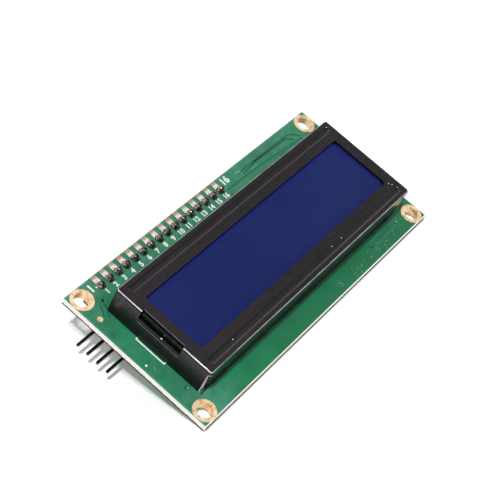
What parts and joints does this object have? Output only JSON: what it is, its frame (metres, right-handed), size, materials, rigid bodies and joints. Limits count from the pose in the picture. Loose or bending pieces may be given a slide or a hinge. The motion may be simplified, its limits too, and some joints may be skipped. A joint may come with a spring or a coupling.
{
  "type": "character display module",
  "caption": "Character display module: green board, black folded bezel round a blue window, and a small serial adapter board soldered behind the pin row.",
  "frame": {"origin": "centre of the four mounting holes, on the front face of the main board", "axes": "+X along the long side from the plug end to the far end, +Y to the edge with the pin row, +Z out of the display"},
  "size_m": [0.0812, 0.036, 0.0176],
  "materials": {
    "solder_mask": "green solder mask over glass-fibre board, cream cut edges",
    "adapter_mask": "black solder mask over glass-fibre board",
    "gold": "gold-coloured plating",
    "tin": "tinned",
    "solder": "bright solder",
    "dark_pin": "dull plated square wire",
    "black_paint": "folded steel sheet, glossy black paint",
    "blue_film": "dark blue polariser film",
    "display_glass": "thin display glass",
    "dark_film": "dark polariser film",
    "white_film": "white film",
    "clear_acrylic": "clear acrylic plate",
    "white_plastic": "white moulded plastic",
    "diode": "diode package with clear resin",
    "elastomer": "striped conductive rubber",
    "resin": "black potting resin",
    "chip_black": "black moulded chip body",
    "ceramic_tan": "tan ceramic",
    "black_plastic": "black moulded plastic",
    "cap_plastic": "black moulded plastic with grip grooves",
    "blue_plastic": "blue moulded plastic",
    "rotor_white": "pale moulded plastic",
    "clip_metal": "plated spring metal"
  },
  "bodies": {
    "module": {"main_board": "solder_mask", "corner_rings": "gold", "edge_pads": "tin", "fiducial_pad": "gold", "link_pins": "dark_pin", "link_strip": "black_plastic", "front_solder": "solder", "adapter_solder": "solder", "bezel": "black_paint", "front_polariser": "blue_film", "front_glass": "display_glass", "rear_glass": "display_glass", "rear_polariser": "dark_film", "diffuser_sheet": "white_film", "light_guide": "clear_acrylic", "reflector_sheet": "white_film", "backlight_housing": "white_plastic", "light_bar": "white_plastic", "backlight_diodes": "diode", "backlight_leads": "tin", "backlight_solder": "solder", "elastomer_strips": "elastomer", "controller_blob": "resin", "segment_blob": "resin", "board_resistors": "chip_black", "board_resistor_ends": "tin", "adapter_board": "adapter_mask", "expander_body": "chip_black", "expander_leads": "tin", "trimmer_body": "blue_plastic", "trimmer_legs": "tin", "trimmer_solder": "solder", "plug_block": "black_plastic", "plug_pins": "dark_pin", "plug_solder": "solder", "jumper_block": "black_plastic", "jumper_pins": "dark_pin", "jumper_solder": "solder", "transistor_body": "chip_black", "transistor_legs": "tin", "adapter_resistor_body": "chip_black", "adapter_resistor_ends": "tin", "adapter_capacitor_body": "ceramic_tan", "adapter_capacitor_ends": "tin", "power_lamp_body": "diode", "power_lamp_ends": "tin", "address_pads": "tin"},
    "rotor": {"trimmer_rotor": "rotor_white"},
    "cap": {"jumper_cap": "cap_plastic", "jumper_clip": "clip_metal"}
  },
  "joints": [
    {"name": "trimmer_turn", "type": "hinge", "parent": "module", "child": "rotor", "pos_m": [-0.00305, 0.0073, -0.01064], "axis": [0, 0, -1], "range_deg": [-120, 120]},
    {"name": "cap_slide", "type": "slide", "parent": "module", "child": "cap", "axis": [1, 0, 0], "range_m": [0, 0.0075]}
  ]
}
